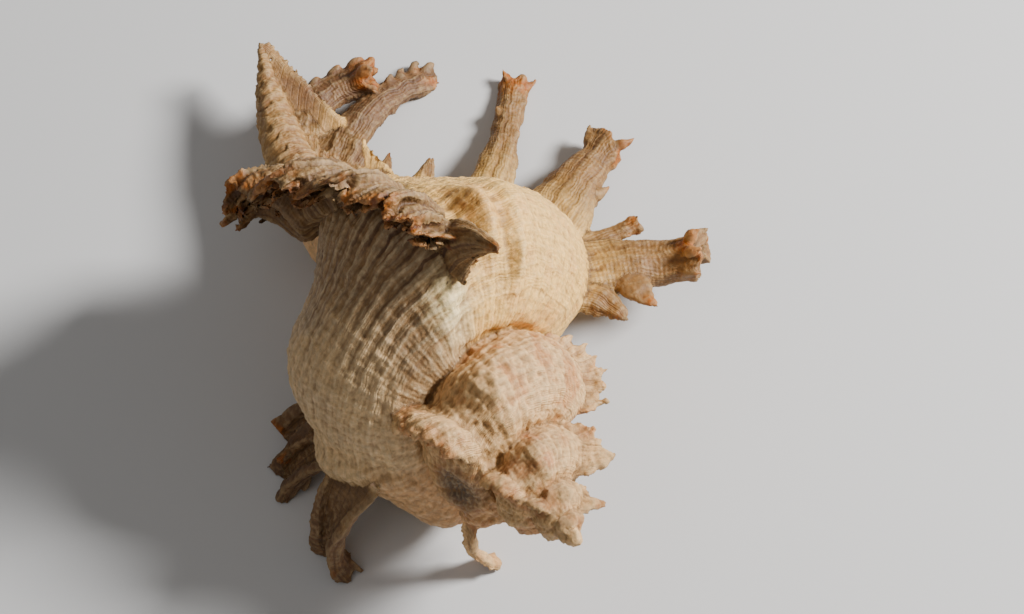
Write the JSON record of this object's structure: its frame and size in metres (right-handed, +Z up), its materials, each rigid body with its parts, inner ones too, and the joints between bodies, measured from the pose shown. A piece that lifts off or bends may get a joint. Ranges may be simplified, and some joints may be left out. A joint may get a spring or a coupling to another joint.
{
  "type": "murex shell",
  "caption": "Spiny sea-snail shell with a coiled spire, frilled varices carrying hollow fronds, an open aperture and a long siphonal canal.",
  "frame": {"origin": "under the middle of the overall box, on the surface the shell rests on", "axes": "+Z up as the shell rests with its aperture down; +Y along the shell, from the spire's apex to the tip of the siphonal canal; +X towards the outer lip"},
  "size_m": [0.101, 0.1392, 0.0762],
  "materials": {
    "shell": "matt, chalky cream with brown and orange-brown frills"
  },
  "bodies": {
    "root": {"murex_shell": "shell"}
  },
  "joints": []
}
